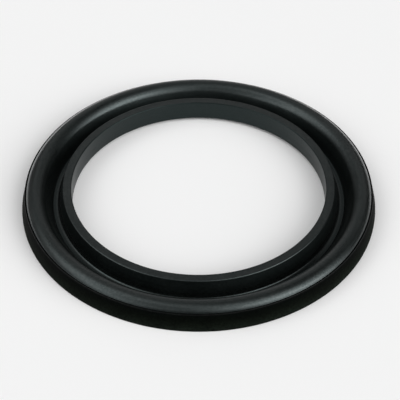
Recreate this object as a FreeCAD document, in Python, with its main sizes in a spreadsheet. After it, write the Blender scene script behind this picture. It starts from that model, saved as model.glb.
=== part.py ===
# Oil seal: one ring of moulded nitrile rubber.
# Its section, from the shaft outwards: a plain lip that hugs the shaft, a deep groove that lets
# the lip flex, a fat rounded bead that bears on the cover, and a wall that presses in the housing.
# Millimetres. The ring's axis is Z, and its flat base lies at Z = 0, centred on the origin.

import FreeCAD, Part
import Sketcher
import math
import os

from FreeCAD import Vector

# Sizes, from the shaft outwards, then the heights and the broken edges
sizes = {
    "bore_radius": 35.8,       # the free lip, a little under the 36 mm radius of the shaft it grips
    "lip_thickness": 2.45,     # across the lip's flat top
    "lip_flare": 1.3,          # how much thicker the lip is at its foot
    "floor_width": 1.7,        # flat floor of the groove
    "flank_run": 4.8,          # from the foot of the bead's inner flank to the bead's centre
    "bead_radius": 2.88,
    "ledge_width": 0.4,        # parting ledge of the mould, between bead and wall
    "wall_taper": 1.05,        # the wall leans in by this much, up to the ledge
    "ring_height": 6.95,       # crest of the bead above the flat base
    "lip_setback": 0.15,       # lip's top below the crest
    "ledge_depth": 1.45,       # ledge below the crest
    "web_thickness": 1.5,      # web under the groove
    "wall_land": 0.9,          # upright band at the foot of the wall
    "bore_chamfer": 1.05,      # lead-in at the lower end of the bore
    "lip_edge_break": 0.25,
    "groove_corner": 0.35,     # eased foot of the groove, where the lip flexes
    "ledge_edge_break": 0.12,
    "base_edge_break": 0.25,
}

doc = FreeCAD.newDocument("oil_seal")
sheet = doc.addObject("Spreadsheet::Sheet", "Sizes")
for row, (name, value) in enumerate(sizes.items(), start=1):
    sheet.set(f"A{row}", name)
    sheet.set(f"B{row}", str(value))
    sheet.setAlias(f"B{row}", name)
doc.recompute()

body = doc.addObject("PartDesign::Body", "seal_ring")
body.Label = "seal_ring"
body.Placement = FreeCAD.Placement()


def origin_feature(role):
    """The body's own plane or axis that has this role."""
    for feature in body.Origin.OriginFeatures:
        if feature.Role == role:
            return feature
    raise RuntimeError(f"no {role} in the body's origin")


# Corners of the section, as radius and height
lip_level = sizes["ring_height"] - sizes["lip_setback"]
ledge_level = sizes["ring_height"] - sizes["ledge_depth"]
bead_level = sizes["ring_height"] - sizes["bead_radius"]
bore = sizes["bore_radius"]
base_inner = Vector(bore + sizes["bore_chamfer"], 0, 0)
bore_bottom = Vector(bore, sizes["bore_chamfer"], 0)
bore_top = Vector(bore, lip_level, 0)
lip_edge = bore_top + Vector(sizes["lip_thickness"], 0, 0)
lip_foot = Vector(lip_edge.x + sizes["lip_flare"], sizes["web_thickness"], 0)
bead_foot = lip_foot + Vector(sizes["floor_width"], 0, 0)
bead_centre = Vector(bead_foot.x + sizes["flank_run"], bead_level, 0)
crest = Vector(bead_centre.x, sizes["ring_height"], 0)

# The inner flank of the bead rises from the groove floor and runs tangent into the bead's arc,
# which ends on the ledge.
bead = sizes["bead_radius"]
to_centre = bead_centre - bead_foot
flank_angle = math.atan2(to_centre.y, to_centre.x) + math.asin(bead / to_centre.Length)
flank_length = math.sqrt(to_centre.Length ** 2 - bead ** 2)
flank_top = bead_foot + Vector(math.cos(flank_angle), math.sin(flank_angle), 0) * flank_length
arc_start = math.asin((ledge_level - bead_level) / bead)
arc_end = flank_angle + math.pi / 2
ledge_root = Vector(bead_centre.x + bead * math.cos(arc_start), ledge_level, 0)
wall_top = ledge_root + Vector(sizes["ledge_width"], 0, 0)
land_top = Vector(wall_top.x + sizes["wall_taper"], sizes["wall_land"], 0)
base_outer = Vector(land_top.x, 0, 0)

# Section sketch, drawn once on the upright plane
section = body.newObject("Sketcher::SketchObject", "Section")
section.AttachmentSupport = [(origin_feature("XZ_Plane"), "")]
section.MapMode = "FlatFace"


def line(start, end):
    return section.addGeometry(Part.LineSegment(start, end), False)


chamfer_line = line(base_inner, bore_bottom)
bore_line = line(bore_bottom, bore_top)
lip_top_line = line(bore_top, lip_edge)
lip_back_line = line(lip_edge, lip_foot)
floor_line = line(lip_foot, bead_foot)
flank_line = line(bead_foot, flank_top)
bead_circle = Part.Circle(bead_centre, Vector(0, 0, 1), bead)
bead_arc = section.addGeometry(Part.ArcOfCircle(bead_circle, arc_start, arc_end), False)
ledge_line = line(ledge_root, wall_top)
wall_line = line(wall_top, land_top)
land_line = line(land_top, base_outer)
base_line = line(base_outer, base_inner)
crest_point = section.addGeometry(Part.Point(crest), True)

START = 1
END = 2
CENTRE = 3
AXES = -1      # the sketch's own origin and horizontal axis

loop = [chamfer_line, bore_line, lip_top_line, lip_back_line, floor_line, flank_line]
for first, second in zip(loop, loop[1:]):
    section.addConstraint(Sketcher.Constraint("Coincident", first, END, second, START))
loop = [ledge_line, wall_line, land_line, base_line, chamfer_line]
for first, second in zip(loop, loop[1:]):
    section.addConstraint(Sketcher.Constraint("Coincident", first, END, second, START))
section.addConstraint(Sketcher.Constraint("Tangent", flank_line, END, bead_arc, END))
section.addConstraint(Sketcher.Constraint("Coincident", bead_arc, START, ledge_line, START))

for upright in (bore_line, land_line):
    section.addConstraint(Sketcher.Constraint("Vertical", upright))
for level in (lip_top_line, floor_line, ledge_line, base_line):
    section.addConstraint(Sketcher.Constraint("Horizontal", level))
section.addConstraint(Sketcher.Constraint("PointOnObject", base_line, START, AXES))
section.addConstraint(Sketcher.Constraint("Vertical", bead_arc, CENTRE, crest_point, START))


def bind(kind, alias, *place):
    """A dimension of the sketch that follows its cell in the sheet."""
    index = section.addConstraint(Sketcher.Constraint(kind, *place, sizes[alias]))
    label = f"{alias}_{index}"
    section.renameConstraint(index, label)
    section.setExpression(f"Constraints.{label}", f"Sizes.{alias}")


bind("DistanceX", "bore_radius", AXES, START, bore_line, START)
bind("DistanceX", "lip_thickness", lip_top_line, START, lip_top_line, END)
bind("DistanceX", "lip_flare", lip_back_line, START, lip_back_line, END)
bind("DistanceX", "floor_width", floor_line, START, floor_line, END)
bind("DistanceX", "flank_run", flank_line, START, bead_arc, CENTRE)
bind("Radius", "bead_radius", bead_arc)
bind("DistanceX", "ledge_width", ledge_line, START, ledge_line, END)
bind("DistanceX", "wall_taper", wall_line, START, wall_line, END)
bind("DistanceY", "ring_height", AXES, START, crest_point, START)
bind("DistanceY", "bead_radius", bead_arc, CENTRE, crest_point, START)
bind("DistanceY", "lip_setback", lip_top_line, END, crest_point, START)
bind("DistanceY", "ledge_depth", ledge_line, END, crest_point, START)
bind("DistanceY", "web_thickness", AXES, START, floor_line, START)
bind("DistanceY", "wall_land", base_line, START, land_line, START)
bind("DistanceX", "bore_chamfer", bore_line, START, chamfer_line, START)
bind("DistanceY", "bore_chamfer", chamfer_line, START, bore_line, START)

# The ring is the section turned once about its axis
ring = body.newObject("PartDesign::Revolution", "Ring")
ring.Profile = section
ring.ReferenceAxis = (origin_feature("Z_Axis"), [""])
ring.Angle = 360
doc.recompute()


def edge_names(shape, corners):
    """The round edges of a shape that pass through these corners of the section."""
    names = []
    for number, edge in enumerate(shape.Edges, start=1):
        for corner in corners:
            on_radius = abs(math.hypot(edge.Vertexes[0].X, edge.Vertexes[0].Y) - corner.x) < 1e-4
            on_height = (abs(edge.BoundBox.ZMin - corner.y) < 1e-4
                         and abs(edge.BoundBox.ZMax - corner.y) < 1e-4)
            if on_radius and on_height:
                names.append(f"Edge{number}")
    if len(names) != len(corners):
        raise RuntimeError(f"found {len(names)} edges for {len(corners)} corners")
    return names


def chamfer(name, base, corners, alias):
    """Breaks the ring's edges at these corners of the section by a size from the sheet."""
    feature = body.newObject("PartDesign::Chamfer", name)
    feature.Base = (base, edge_names(base.Shape, corners))
    feature.Size = sizes[alias]
    feature.setExpression("Size", f"Sizes.{alias}")
    doc.recompute()
    return feature


# The mould leaves no sharp corner: the groove's foot is eased so that the lip can flex without
# tearing, and the outer edges are broken.
grooved = chamfer("GrooveCorners", ring, [lip_foot, bead_foot], "groove_corner")
lipped = chamfer("LipEdges", grooved, [bore_top, lip_edge], "lip_edge_break")
ledged = chamfer("LedgeEdge", lipped, [wall_top], "ledge_edge_break")
finished = chamfer("BaseEdge", ledged, [base_outer], "base_edge_break")
body.Tip = finished
doc.recompute()

for item in doc.Objects:
    if "Invalid" in item.State or "Error" in item.State:
        raise RuntimeError(f"{item.Label} did not build: {item.State}")
if body.Shape.isNull() or not body.Shape.isValid() or len(body.Shape.Solids) != 1:
    raise RuntimeError("the ring is not one valid solid")

os.makedirs("parts", exist_ok=True)
body.Shape.exportStep(f"parts/{body.Label}.step")

box = body.Shape.BoundBox
print("solids", len(body.Shape.Solids), "volume mm3", round(body.Shape.Volume, 1))
print("box", [round(value, 3) for value in (box.XLength, box.YLength, box.ZLength, box.ZMin)])
print("free sketch dimensions", section.solve(), "faces", len(body.Shape.Faces))
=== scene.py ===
import bpy
import math
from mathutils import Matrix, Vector


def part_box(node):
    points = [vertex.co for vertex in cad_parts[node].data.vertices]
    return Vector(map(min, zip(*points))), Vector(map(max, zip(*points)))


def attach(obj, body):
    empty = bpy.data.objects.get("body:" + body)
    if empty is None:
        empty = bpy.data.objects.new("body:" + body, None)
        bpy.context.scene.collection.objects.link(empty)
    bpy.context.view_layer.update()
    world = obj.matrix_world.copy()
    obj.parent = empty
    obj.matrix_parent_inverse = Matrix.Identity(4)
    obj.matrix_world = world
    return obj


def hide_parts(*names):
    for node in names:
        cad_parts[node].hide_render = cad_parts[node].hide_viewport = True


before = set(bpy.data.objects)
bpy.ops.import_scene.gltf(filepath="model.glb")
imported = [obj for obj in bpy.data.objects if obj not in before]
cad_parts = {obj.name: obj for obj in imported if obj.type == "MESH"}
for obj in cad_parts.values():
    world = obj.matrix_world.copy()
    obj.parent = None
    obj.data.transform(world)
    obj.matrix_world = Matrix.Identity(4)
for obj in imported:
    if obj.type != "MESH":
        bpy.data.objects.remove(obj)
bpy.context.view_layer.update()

# The ring
# One piece of black nitrile rubber, pressed in a two-part mould. Its section is the same all round:
# a lip for the shaft, a groove that lets it flex, a fat bead and an outer wall that leans in.

MM = 0.001
ring_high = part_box("seal_ring")[1]
outer_radius = ring_high[0]
ring_height = ring_high[2]
bore_radius = 35.8 * MM
bore_chamfer = 1.05 * MM
lip_top_radius = bore_radius + 2.45 * MM
lip_height = ring_height - 0.15 * MM
lip_foot_radius = lip_top_radius + 1.3 * MM
bead_foot_radius = lip_foot_radius + 1.7 * MM
floor_height = 1.5 * MM
bead_radius = 2.88 * MM
shoulder_radius = 3.3 * MM      # the bead's inner side, a little fuller than its outer side
bead_centre = Vector((bead_foot_radius + 4.8 * MM, ring_height - bead_radius))
ledge_height = ring_height - 1.45 * MM
ledge_width = 0.4 * MM
wall_land = 0.9 * MM
steps_round_ring = 512


def bead_corners():
    """The two corners whose roundings draw the bead, on either side of its crest.

    The groove's flank leads up to the inner one, and the tangent at the bead's outer end runs down
    from the outer one. Also gives the root, where that tangent runs on to the ledge.
    """
    foot = Vector((bead_foot_radius, floor_height))
    to_centre = Vector((bead_centre.x, ring_height - shoulder_radius)) - foot
    flank = math.atan2(to_centre.y, to_centre.x) + math.asin(shoulder_radius / to_centre.length)
    clear_of_ledge = 0.02
    outer_end = math.asin((ledge_height - bead_centre.y) / bead_radius) + clear_of_ledge
    crest_flat = 0.01 * MM      # keeps the ends of the two roundings apart
    inner_reach = crest_flat + shoulder_radius * math.tan(flank / 2)
    outer_reach = crest_flat + bead_radius * math.tan((math.pi / 2 - outer_end) / 2)
    inner = Vector((bead_centre.x - inner_reach, ring_height))
    outer = Vector((bead_centre.x + outer_reach, ring_height))
    arc_end = bead_centre + bead_radius * Vector((math.cos(outer_end), math.sin(outer_end)))
    drop = (arc_end.y - ledge_height) / math.cos(outer_end)
    root = arc_end + drop * Vector((math.sin(outer_end), -math.cos(outer_end)))
    return inner, outer, root


def section_corners():
    """Every corner of the section: its place, its rounding and the steps that draw it."""
    inner, outer, root = bead_corners()
    return [
        (Vector((bore_radius + bore_chamfer, 0.0)), 0.12 * MM, 3),
        (Vector((bore_radius, bore_chamfer)), 0.15 * MM, 3),
        (Vector((bore_radius, lip_height)), 0.25 * MM, 6),
        (Vector((lip_top_radius, lip_height)), 0.35 * MM, 8),
        (Vector((lip_foot_radius, floor_height)), 0.80 * MM, 12),
        (Vector((bead_foot_radius, floor_height)), 0.50 * MM, 8),
        (inner, shoulder_radius, 28),
        (outer, bead_radius, 24),
        (root, 0.05 * MM, 3),
        (Vector((root.x + ledge_width, ledge_height)), 0.18 * MM, 7),
        (Vector((outer_radius, wall_land)), 1.5 * MM, 5),
        (Vector((outer_radius, 0.0)), 0.25 * MM, 6),
    ]


def with_supports(corners, margin):
    """Adds a plain point beside each rounding, so that the flats between them shade flat."""
    reaches = []
    for i, (place, rounding, _) in enumerate(corners):
        before = (place - corners[i - 1][0]).normalized()
        after = (corners[(i + 1) % len(corners)][0] - place).normalized()
        reaches.append(rounding * math.tan(before.angle(after) / 2))
    points = []
    for i, (place, rounding, steps) in enumerate(corners):
        following = (i + 1) % len(corners)
        run = corners[following][0] - place
        spare = run.length - reaches[i] - reaches[following]
        points.append((place, rounding, steps))
        if spare > 3 * margin:
            along = run.normalized()
            points.append((place + along * (reaches[i] + margin), 0.0, 1))
            points.append((corners[following][0] - along * (reaches[following] + margin), 0.0, 1))
    return points


def section_mesh():
    """The section as a closed outline of edges: x is the radius and y the height, drawn downwards.

    A circle's own profile plane points down, so the heights are negative here and come out
    upright on the ring.
    """
    corners = with_supports(section_corners(), margin=0.04 * MM)
    mesh = bpy.data.meshes.new("seal_section")
    points = [(place.x - outer_radius, -place.y, 0.0) for place, _, _ in corners]
    edges = [(i, (i + 1) % len(points)) for i in range(len(points))]
    mesh.from_pydata(points, edges, [])
    rounding = mesh.attributes.new("corner_round", "FLOAT", "POINT")
    steps = mesh.attributes.new("corner_steps", "INT", "POINT")
    for i, (_, radius, count) in enumerate(corners):
        rounding.data[i].value = radius
        steps.data[i].value = count
    return mesh


def named_field(nodes, name, kind):
    """A node that reads one attribute of the section's corners."""
    node = nodes.new("GeometryNodeInputNamedAttribute")
    node.data_type = kind
    node.inputs["Name"].default_value = name
    return node.outputs["Attribute"]


def turning_tree():
    """Rounds the corners of a section and turns it about the ring's axis."""
    tree = bpy.data.node_groups.new("Turn Seal Ring", "GeometryNodeTree")
    face = tree.interface
    face.new_socket("Section", in_out="INPUT", socket_type="NodeSocketGeometry")
    face.new_socket("Outer Radius", in_out="INPUT", socket_type="NodeSocketFloat")
    face.new_socket("Steps Round", in_out="INPUT", socket_type="NodeSocketInt")
    face.new_socket("Unevenness", in_out="INPUT", socket_type="NodeSocketFloat")
    face.new_socket("Dull From", in_out="INPUT", socket_type="NodeSocketFloat")
    face.new_socket("Satin Rubber", in_out="INPUT", socket_type="NodeSocketMaterial")
    face.new_socket("Dull Rubber", in_out="INPUT", socket_type="NodeSocketMaterial")
    face.new_socket("Ring", in_out="OUTPUT", socket_type="NodeSocketGeometry")
    nodes, links = tree.nodes, tree.links
    given = nodes.new("NodeGroupInput")
    result = nodes.new("NodeGroupOutput")

    outline = nodes.new("GeometryNodeMeshToCurve")
    rounded = nodes.new("GeometryNodeFilletCurve")
    rounded.mode = "POLY"
    links.new(given.outputs["Section"], outline.inputs["Mesh"])
    links.new(outline.outputs["Curve"], rounded.inputs["Curve"])
    links.new(named_field(nodes, "corner_round", "FLOAT"), rounded.inputs["Radius"])
    links.new(named_field(nodes, "corner_steps", "INT"), rounded.inputs["Count"])

    path = nodes.new("GeometryNodeCurvePrimitiveCircle")
    upright = nodes.new("GeometryNodeSetCurveNormal")
    upright.mode = "Z_UP"
    turned = nodes.new("GeometryNodeCurveToMesh")
    links.new(given.outputs["Outer Radius"], path.inputs["Radius"])
    links.new(given.outputs["Steps Round"], path.inputs["Resolution"])
    links.new(path.outputs["Curve"], upright.inputs["Curve"])
    links.new(upright.outputs["Curve"], turned.inputs["Curve"])
    links.new(rounded.outputs["Curve"], turned.inputs["Profile Curve"])

    # Rubber shrinks a little unevenly as it cools, so no face is quite true.
    swells_per_metre = 55.0
    swell = nodes.new("ShaderNodeTexNoise")
    swell.inputs["Scale"].default_value = swells_per_metre
    swell.inputs["Detail"].default_value = 1.0
    centred = nodes.new("ShaderNodeMath")
    centred.operation = "SUBTRACT"
    centred.inputs[1].default_value = 0.5
    amount = nodes.new("ShaderNodeMath")
    amount.operation = "MULTIPLY"
    normal = nodes.new("GeometryNodeInputNormal")
    offset = nodes.new("ShaderNodeVectorMath")
    offset.operation = "SCALE"
    moved = nodes.new("GeometryNodeSetPosition")
    links.new(swell.outputs["Fac"], centred.inputs[0])
    links.new(centred.outputs["Value"], amount.inputs[0])
    links.new(given.outputs["Unevenness"], amount.inputs[1])

    # The base keeps flat on the floor: the swell starts a millimetre above it.
    point = nodes.new("GeometryNodeInputPosition")
    parts = nodes.new("ShaderNodeSeparateXYZ")
    rise = nodes.new("ShaderNodeMapRange")
    rise.inputs["From Min"].default_value = 0.0
    rise.inputs["From Max"].default_value = 1.0 * MM
    eased = nodes.new("ShaderNodeMath")
    eased.operation = "MULTIPLY"
    links.new(point.outputs["Position"], parts.inputs["Vector"])
    links.new(parts.outputs["Z"], rise.inputs["Value"])
    links.new(amount.outputs["Value"], eased.inputs[0])
    links.new(rise.outputs["Result"], eased.inputs[1])
    links.new(normal.outputs["Normal"], offset.inputs["Vector"])
    links.new(eased.outputs["Value"], offset.inputs["Scale"])
    links.new(turned.outputs["Mesh"], moved.inputs["Geometry"])
    links.new(offset.outputs["Vector"], moved.inputs["Offset"])

    # The dull half of the mould made what lies outside a radius, and the base.
    base_level = 0.01 * MM
    level = nodes.new("ShaderNodeCombineXYZ")
    radius = nodes.new("ShaderNodeVectorMath")
    radius.operation = "LENGTH"
    outside = nodes.new("FunctionNodeCompare")
    outside.operation = "GREATER_THAN"
    base = nodes.new("FunctionNodeCompare")
    base.operation = "LESS_THAN"
    base.inputs["B"].default_value = base_level
    dull = nodes.new("FunctionNodeBooleanMath")
    dull.operation = "OR"
    links.new(parts.outputs["X"], level.inputs["X"])
    links.new(parts.outputs["Y"], level.inputs["Y"])
    links.new(level.outputs["Vector"], radius.inputs[0])
    links.new(radius.outputs["Value"], outside.inputs["A"])
    links.new(given.outputs["Dull From"], outside.inputs["B"])
    links.new(parts.outputs["Z"], base.inputs["A"])
    links.new(outside.outputs["Result"], dull.inputs[0])
    links.new(base.outputs["Result"], dull.inputs[1])

    real = nodes.new("GeometryNodeRealizeInstances")
    satin_coat = nodes.new("GeometryNodeSetMaterial")
    dull_coat = nodes.new("GeometryNodeSetMaterial")
    links.new(moved.outputs["Geometry"], real.inputs["Geometry"])
    links.new(real.outputs["Geometry"], satin_coat.inputs["Geometry"])
    links.new(given.outputs["Satin Rubber"], satin_coat.inputs["Material"])
    links.new(satin_coat.outputs["Geometry"], dull_coat.inputs["Geometry"])
    links.new(dull.outputs["Boolean"], dull_coat.inputs["Selection"])
    links.new(given.outputs["Dull Rubber"], dull_coat.inputs["Material"])
    links.new(dull_coat.outputs["Geometry"], result.inputs["Ring"])
    return tree


def rubber_skin():
    """What the mould prints on all of the ring: fine turned lines, wax bloom and grain.

    Across runs from 0 at the bore to 1 at the wall.
    """
    tree = bpy.data.node_groups.new("Moulded Skin", "ShaderNodeTree")
    face = tree.interface
    spacings = {"Line Spacing": 0.5 * MM, "Bloom Size": 7 * MM, "Grain Size": 0.5 * MM}
    for name, value in spacings.items():
        face.new_socket(name, in_out="INPUT", socket_type="NodeSocketFloat").default_value = value
    for name in ("Across", "Lines", "Bloom", "Grain", "Relief"):
        face.new_socket(name, in_out="OUTPUT", socket_type="NodeSocketFloat")
    nodes, links = tree.nodes, tree.links
    given = nodes.new("NodeGroupInput")
    result = nodes.new("NodeGroupOutput")
    place = nodes.new("ShaderNodeTexCoord").outputs["Object"]

    def arithmetic(operation, first, second):
        node = nodes.new("ShaderNodeMath")
        node.operation = operation
        for socket, value in zip(node.inputs, (first, second)):
            if isinstance(value, float):
                socket.default_value = value
            else:
                links.new(value, socket)
        return node.outputs["Value"]

    def noise(size, detail, vector):
        texture = nodes.new("ShaderNodeTexNoise")
        texture.inputs["Detail"].default_value = detail
        links.new(arithmetic("DIVIDE", 1.0, size), texture.inputs["Scale"])
        links.new(vector, texture.inputs["Vector"])
        return texture

    level = nodes.new("ShaderNodeVectorMath")
    level.operation = "MULTIPLY"
    level.inputs[1].default_value = (1.0, 1.0, 0.0)
    radius = nodes.new("ShaderNodeVectorMath")
    radius.operation = "LENGTH"
    share = nodes.new("ShaderNodeMapRange")
    share.inputs["From Min"].default_value = bore_radius
    share.inputs["From Max"].default_value = outer_radius
    links.new(place, level.inputs[0])
    links.new(level.outputs["Vector"], radius.inputs[0])
    links.new(radius.outputs["Value"], share.inputs["Value"])
    links.new(share.outputs["Result"], result.inputs["Across"])

    # The lines run round the ring, so the noise changes slowly along it and fast across it.
    stretch = 60.0
    drawn_out = nodes.new("ShaderNodeVectorMath")
    drawn_out.operation = "MULTIPLY"
    drawn_out.inputs[1].default_value = (1.0, 1.0, stretch)
    links.new(place, drawn_out.inputs[0])
    spacing = arithmetic("MULTIPLY", given.outputs["Line Spacing"], stretch)
    lines = noise(spacing, 3.0, drawn_out.outputs["Vector"])
    lines.noise_dimensions = "4D"
    links.new(arithmetic("MULTIPLY", radius.outputs["Value"], stretch), lines.inputs["W"])
    grain = noise(given.outputs["Grain Size"], 2.0, place)
    relief = arithmetic("ADD", lines.outputs["Fac"], grain.outputs["Fac"])
    links.new(lines.outputs["Fac"], result.inputs["Lines"])
    links.new(grain.outputs["Fac"], result.inputs["Grain"])
    links.new(noise(given.outputs["Bloom Size"], 4.0, place).outputs["Fac"], result.inputs["Bloom"])
    links.new(relief, result.inputs["Relief"])
    return tree


def rubber(name, skin, gloss, tint, colours, sheen, polish, relief_depth):
    """Nitrile rubber. The pairs give its shade, roughness and polished skin by radius in mm."""
    material = bpy.data.materials.new(name)
    material.use_nodes = True
    nodes, links = material.node_tree.nodes, material.node_tree.links
    shader = nodes["Principled BSDF"]
    shader.inputs["Specular IOR Level"].default_value = gloss
    shader.inputs["Specular Tint"].default_value = (*tint, 1.0)
    shader.inputs["Coat IOR"].default_value = 1.36
    shader.inputs["Coat Roughness"].default_value = 0.27
    print_of = nodes.new("ShaderNodeGroup")
    print_of.node_tree = skin

    def by_radius(stations):
        """A colour or value that changes from the bore to the wall."""
        ramp = nodes.new("ShaderNodeValToRGB")
        stops = ramp.color_ramp.elements
        while len(stops) < len(stations):
            stops.new(1.0)
        for stop, (place, value) in zip(stops, stations):
            stop.position = (place * MM - bore_radius) / (outer_radius - bore_radius)
            stop.color = (*(value if isinstance(value, tuple) else (value,) * 3), 1.0)
        links.new(print_of.outputs["Across"], ramp.inputs["Fac"])
        return ramp.outputs["Color"]

    def scaled(colour, pattern, low, high):
        """A colour or value made darker and lighter by a pattern."""
        amount = nodes.new("ShaderNodeMapRange")
        amount.inputs["From Min"].default_value = 0.3
        amount.inputs["From Max"].default_value = 0.7
        amount.inputs["To Min"].default_value = low
        amount.inputs["To Max"].default_value = high
        product = nodes.new("ShaderNodeVectorMath")
        product.operation = "SCALE"
        links.new(print_of.outputs[pattern], amount.inputs["Value"])
        links.new(colour, product.inputs["Vector"])
        links.new(amount.outputs["Result"], product.inputs["Scale"])
        return product.outputs["Vector"]

    mottled = scaled(scaled(by_radius(colours), "Bloom", 0.8, 1.25), "Grain", 0.5, 1.6)
    links.new(mottled, shader.inputs["Base Color"])
    roughness = scaled(scaled(by_radius(sheen), "Lines", 0.90, 1.10), "Bloom", 0.94, 1.06)
    links.new(roughness, shader.inputs["Roughness"])
    worn = scaled(scaled(by_radius(polish), "Lines", 0.75, 1.25), "Grain", 0.6, 1.4)
    links.new(worn, shader.inputs["Coat Weight"])
    bump = nodes.new("ShaderNodeBump")
    bump.inputs["Strength"].default_value = 0.4
    bump.inputs["Distance"].default_value = relief_depth
    links.new(print_of.outputs["Relief"], bump.inputs["Height"])
    links.new(bump.outputs["Normal"], shader.inputs["Normal"])
    return material


# The polished upper half of the mould leaves a satin skin with a breath of green, glossiest on the
# lip's top, the bead and the inner foot of the groove. The lower half left the wall and the base
# dull. Handling has rubbed the ledge's edge a little shiny. The wall's colour is painted shade and
# painted light: darkest at its top, and paler towards its foot as painted light from the white
# floor.
satin_shade = (0.0030, 0.0036, 0.0034)
moulded_skin = rubber_skin()
satin_rubber = rubber(
    "seal_rubber", moulded_skin, gloss=0.33, tint=(0.72, 1.0, 1.0),
    colours=[(35.8, satin_shade), (49.0, satin_shade)],
    sheen=[(35.8, 0.36), (38.1, 0.34), (38.5, 0.42), (39.1, 0.36), (39.4, 0.12), (40.1, 0.14),
           (41.3, 0.34), (42.0, 0.36), (43.6, 0.30), (49.0, 0.30)],
    polish=[(35.8, 0.0), (35.95, 0.0), (36.1, 1.0), (38.2, 1.0), (38.6, 0.2), (39.1, 0.3),
            (39.4, 1.0), (40.1, 1.0), (40.5, 0.2), (42.3, 0.2), (43.2, 1.0), (49.0, 1.0)],
    relief_depth=0.07 * MM)
dull_rubber_painted_shade = rubber(
    "seal_rubber_dull", moulded_skin, gloss=0.02, tint=(1.0, 1.0, 1.0),
    # Painted shade and light: darkest at the wall's top, paler towards its foot as if lit by the
    # floor.
    colours=[(35.8, (0.0016, 0.0024, 0.0018)), (48.9, (0.0004, 0.0009, 0.0008)),
             (49.4, (0.0011, 0.0018, 0.0011)), (49.7, (0.0027, 0.0040, 0.0026)),
             (50.0, (0.0052, 0.0074, 0.0054))],
    sheen=[(35.8, 0.6), (50.0, 0.6)],
    polish=[(35.8, 0.0), (48.8, 0.0), (48.86, 0.3), (48.98, 0.3), (49.04, 0.0), (50.0, 0.0)],
    relief_depth=0.08 * MM)


def turned_ring():
    """The finished ring as a plain mesh."""
    blank = bpy.data.objects.new("ring_blank", section_mesh())
    bpy.context.collection.objects.link(blank)
    tree = turning_tree()
    modifier = blank.modifiers.new("Turning", "NODES")
    modifier.node_group = tree
    values = {
        "Outer Radius": outer_radius,
        "Steps Round": steps_round_ring,
        "Unevenness": 0.04 * MM,
        "Dull From": 48.56 * MM,
        "Satin Rubber": satin_rubber,
        "Dull Rubber": dull_rubber_painted_shade,
    }
    for socket in tree.interface.items_tree:
        if socket.name in values:
            modifier[socket.identifier] = values[socket.name]
    graph = bpy.context.evaluated_depsgraph_get()
    mesh = bpy.data.meshes.new_from_object(blank.evaluated_get(graph))
    bpy.data.objects.remove(blank)
    mesh.name = "oil_seal_ring"
    mesh.polygons.foreach_set("use_smooth", [True] * len(mesh.polygons))
    return bpy.data.objects.new("oil_seal_ring", mesh)


ring = turned_ring()
bpy.context.collection.objects.link(ring)
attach(ring, "root")
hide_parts("seal_ring")

# The floor
# A wide sheet of white card that the ring lies on. It is flat and matt, so it takes the ring's soft
# shadow and mirrors nothing.

floor_side = 6.0


def white_card():
    """Matt white card."""
    material = bpy.data.materials.new("white_card")
    material.use_nodes = True
    shader = material.node_tree.nodes["Principled BSDF"]
    shader.inputs["Base Color"].default_value = (0.90, 0.90, 0.90, 1.0)
    shader.inputs["Roughness"].default_value = 0.9
    shader.inputs["Specular IOR Level"].default_value = 0.1
    return material


half = floor_side / 2
card = bpy.data.meshes.new("floor_card")
card.from_pydata([(-half, -half, 0), (half, -half, 0), (half, half, 0), (-half, half, 0)], [],
                 [(0, 1, 2, 3)])
card.materials.append(white_card())
floor = bpy.data.objects.new("floor_card", card)
bpy.context.collection.objects.link(floor)

# The light
# A pale studio room, dim between its soft patches of light: each is a soft box or a bright wall,
# and stands at some height and bearing round the table.

# A row of patches for each height in degrees. Each patch has its bearing, counted from the front
# towards the right, and its radiance.
patch_rows = [
    (8, [(80, 1.0), (180, 0.28)]),
    (22, [(-130, 0.27), (-90, 0.16), (-70, 0.5), (-50, 1.4), (50, 1.4), (70, 4.0), (190, 0.35)]),
    (36, [(-96, 0.5), (-72, 1.7), (-48, 0.3), (-24, 0.55), (24, 1.2), (48, 3.4), (72, 0.4),
          (96, 0.14), (144, 0.28), (168, 0.22)]),
    (50, [(-165, 0.28), (-135, 0.28), (-105, 1.2), (-75, 0.27), (-45, 0.2), (-15, 0.1), (15, 0.3),
          (50, 1.2), (75, 1.2)]),
    (64, [(-135, 0.14), (-90, 1.2), (0, 0.2), (45, 0.9), (180, 0.17)]),
    (78, [(-135, 0.2), (-45, 0.24), (45, 0.6)]),
]
patch_tightness = 30.0      # each patch fades to a third about 15 degrees from its middle


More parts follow.
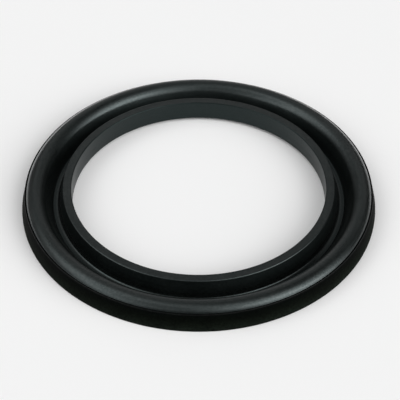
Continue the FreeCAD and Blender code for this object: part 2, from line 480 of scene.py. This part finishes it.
def studio_room():
    """The room as one smooth glow: the patches' light added up for each direction."""
    world = bpy.data.worlds.new("studio_room")
    world.use_nodes = True
    nodes, links = world.node_tree.nodes, world.node_tree.links
    background = nodes["Background"]
    background.inputs["Color"].default_value = (1.0, 1.0, 1.0, 1.0)
    outward = nodes.new("ShaderNodeTexCoord").outputs["Generated"]
    total = None
    patches = [(height, *patch) for height, row in patch_rows for patch in row]
    for height, bearing, radiance in patches:
        up, turn = math.radians(height), math.radians(bearing)
        near = nodes.new("ShaderNodeVectorMath")
        near.operation = "DOT_PRODUCT"
        near.inputs[1].default_value = (
            math.cos(up) * math.sin(turn), -math.cos(up) * math.cos(turn), math.sin(up))
        fall = nodes.new("ShaderNodeMath")
        fall.operation = "MULTIPLY_ADD"
        fall.inputs[1].default_value = patch_tightness
        fall.inputs[2].default_value = -patch_tightness
        glow = nodes.new("ShaderNodeMath")
        glow.operation = "EXPONENT"
        added = nodes.new("ShaderNodeMath")
        added.operation = "MULTIPLY_ADD"
        added.inputs[1].default_value = radiance
        added.inputs[2].default_value = 0.0
        links.new(outward, near.inputs[0])
        links.new(near.outputs["Value"], fall.inputs[0])
        links.new(fall.outputs["Value"], glow.inputs[0])
        links.new(glow.outputs["Value"], added.inputs[0])
        if total:
            links.new(total, added.inputs[2])
        total = added.outputs["Value"]
    links.new(total, background.inputs["Strength"])
    return world


bpy.context.scene.world = studio_room()

# The camera
# A long lens, level with the horizon, that looks down on the ring from the front.

mm_per_pixel = 0.2848 * MM
frame_pixels = 400
camera_pixels = 1400
elevation = math.radians(42.9)
base_pixel = (198.73, 200.58)

eye = bpy.data.cameras.new("front_camera")
eye.sensor_width = 36.0
eye.lens = eye.sensor_width * camera_pixels / frame_pixels
eye.shift_x = (frame_pixels / 2 - base_pixel[0]) / frame_pixels
eye.shift_y = (base_pixel[1] - frame_pixels / 2) / frame_pixels
camera = bpy.data.objects.new("front_camera", eye)
sight = Vector((0.0, -math.cos(elevation), math.sin(elevation)))
camera.location = sight * camera_pixels * mm_per_pixel
camera.rotation_euler = sight.to_track_quat("Z", "Y").to_euler()
bpy.context.collection.objects.link(camera)
bpy.context.scene.camera = camera
bpy.context.scene.view_settings.view_transform = "Standard"
